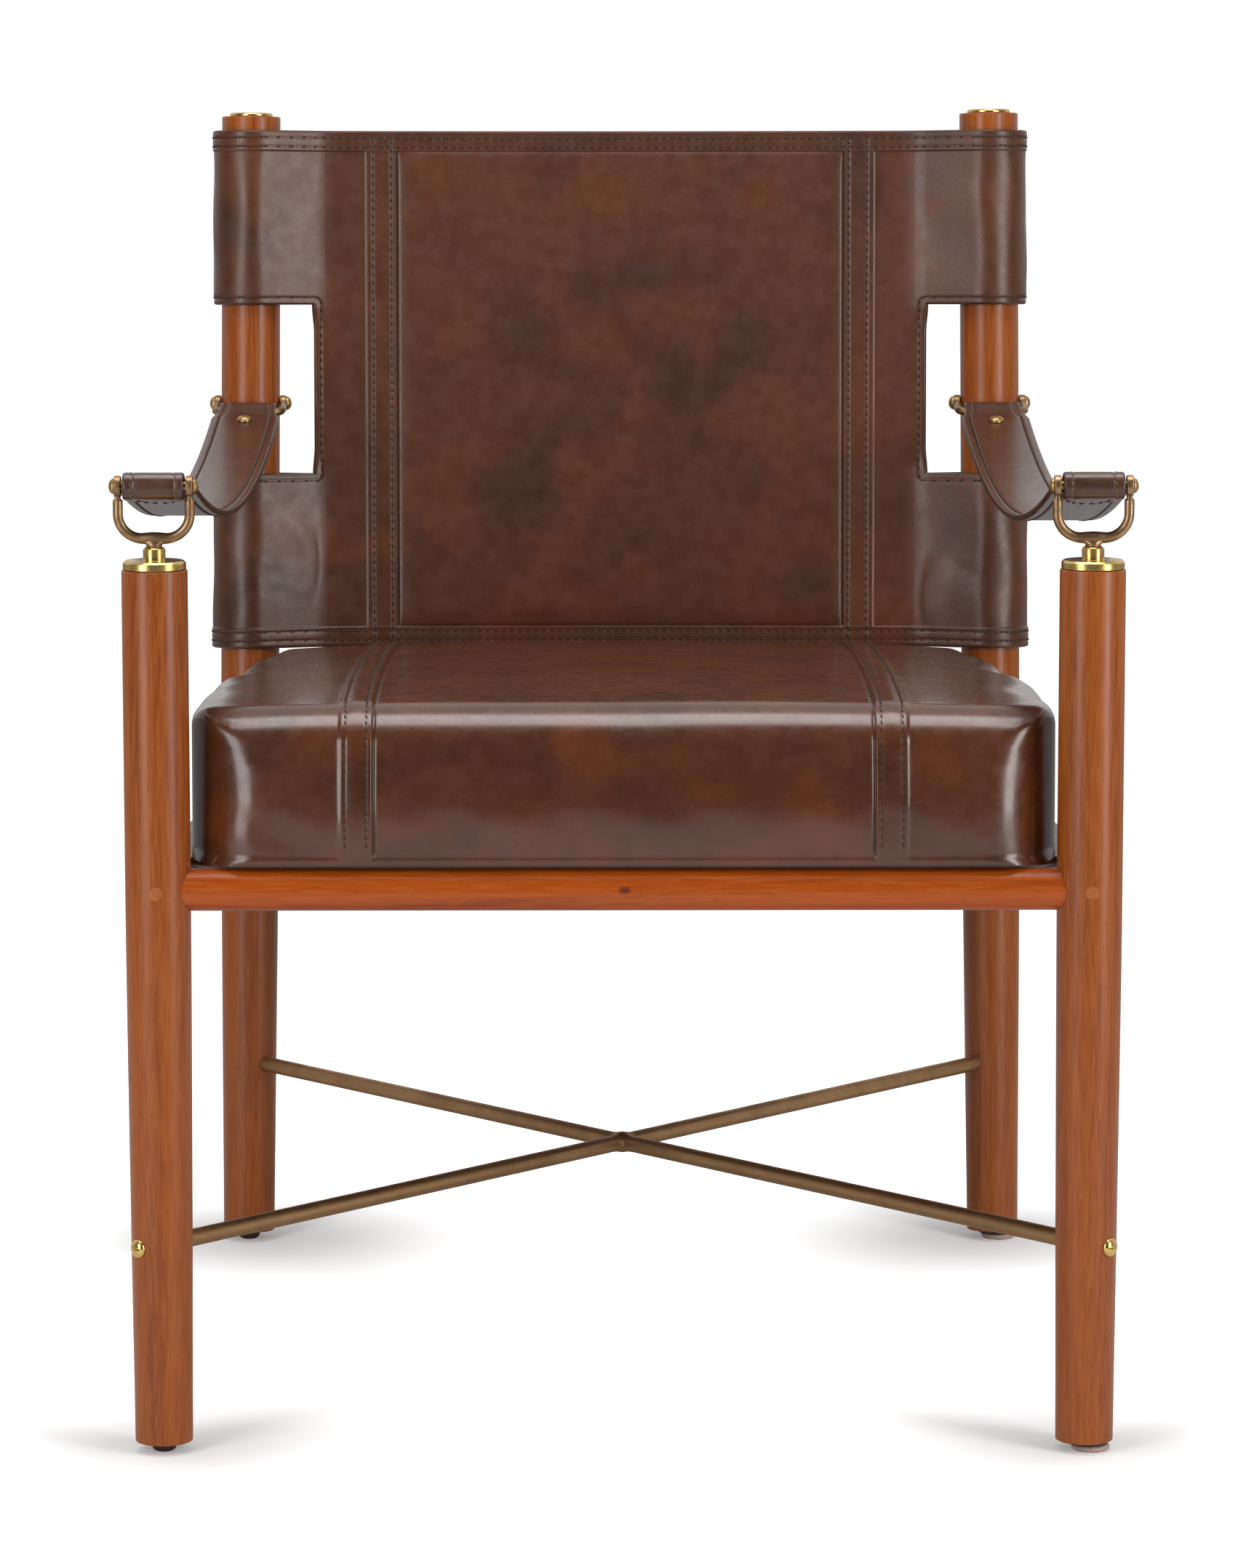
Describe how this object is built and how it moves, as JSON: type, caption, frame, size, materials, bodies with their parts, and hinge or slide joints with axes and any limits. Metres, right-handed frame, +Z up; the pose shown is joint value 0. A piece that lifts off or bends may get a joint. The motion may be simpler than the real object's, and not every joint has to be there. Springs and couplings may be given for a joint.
{
  "type": "lounge chair",
  "caption": "Turned hardwood lounge chair with a slung leather back, a loose leather seat cushion, and leather strap arms on swivelling brass shackles.",
  "frame": {"origin": "on the floor, under the middle of the chair's overall width and depth", "axes": "+Z up; the chair faces -Y; +X to the right of someone who looks at its front"},
  "size_m": [0.6358, 0.7193, 0.8281],
  "materials": {
    "mahogany": "satin oil",
    "peg_wood": "satin end grain",
    "saddle_leather": "waxed, mottled brown",
    "cushion_leather": "waxed, glossy brown",
    "aged_brass": "patinated",
    "bright_brass": "polished",
    "glide_plastic": "matte",
    "felt": "felted"
  },
  "bodies": {
    "frame": {"arm_strap_left": "saddle_leather", "arm_strap_right": "saddle_leather", "back_centre_panel": "saddle_leather", "back_sling": "saddle_leather", "front_felt_pad_right": "felt", "front_glide_left": "glide_plastic", "front_glide_right": "glide_plastic", "front_leg_left": "mahogany", "front_leg_right": "mahogany", "front_peg_left": "peg_wood", "front_peg_right": "peg_wood", "front_rail": "mahogany", "front_rivet_left": "bright_brass", "front_rivet_right": "bright_brass", "leg_collar_left": "bright_brass", "leg_collar_right": "bright_brass", "post_cap_left": "bright_brass", "post_cap_right": "bright_brass", "rear_felt_pad_right": "felt", "rear_glide_left": "glide_plastic", "rear_glide_right": "glide_plastic", "rear_peg_left": "peg_wood", "rear_peg_right": "peg_wood", "rear_post_left": "mahogany", "rear_post_right": "mahogany", "rear_rail": "mahogany", "rear_rivet_left": "bright_brass", "rear_rivet_right": "bright_brass", "seat_sling": "saddle_leather", "side_rail_left": "mahogany", "side_rail_right": "mahogany", "stretcher_rod_front_left": "aged_brass", "stretcher_rod_front_right": "aged_brass", "stretcher_rod_rear_left": "aged_brass", "stretcher_rod_rear_right": "aged_brass", "stretcher_screw_front_left": "bright_brass", "stretcher_screw_front_right": "bright_brass", "stretcher_screw_rear_left": "bright_brass", "stretcher_screw_rear_right": "bright_brass"},
    "shackle_body_left": {"shackle_left": "aged_brass", "shackle_pin_left": "bright_brass"},
    "bracket_body_left": {"rear_bracket_left": "aged_brass", "rear_bracket_pin_left": "bright_brass"},
    "shackle_body_right": {"shackle_right": "aged_brass", "shackle_pin_right": "bright_brass"},
    "bracket_body_right": {"rear_bracket_right": "aged_brass", "rear_bracket_pin_right": "bright_brass"},
    "cushion_body": {"seat_cushion": "cushion_leather"}
  },
  "joints": [
    {"name": "shackle_swivel_left", "type": "hinge", "parent": "frame", "child": "shackle_body_left", "pos_m": [-0.2894, -0.33923, 0.5704], "axis": [0, 0, 1], "range_deg": [-15, 15], "deforming": ["arm_strap_left"]},
    {"name": "bracket_pivot_left", "type": "hinge", "parent": "frame", "child": "bracket_body_left", "pos_m": [-0.26973, 0.3223, 0.6148], "axis": [1, 0, 0], "range_deg": [-30, 25], "deforming": ["arm_strap_left"]},
    {"name": "shackle_swivel_right", "type": "hinge", "parent": "frame", "child": "shackle_body_right", "pos_m": [0.2894, -0.33923, 0.5704], "axis": [0, 0, 1], "range_deg": [-15, 15], "deforming": ["arm_strap_right"]},
    {"name": "bracket_pivot_right", "type": "hinge", "parent": "frame", "child": "bracket_body_right", "pos_m": [0.26973, 0.3223, 0.6148], "axis": [1, 0, 0], "range_deg": [-30, 25], "deforming": ["arm_strap_right"]},
    {"name": "cushion_lift", "type": "slide", "parent": "frame", "child": "cushion_body", "axis": [0, -0.342, 0.9397], "range_m": [0, 0.03]}
  ]
}
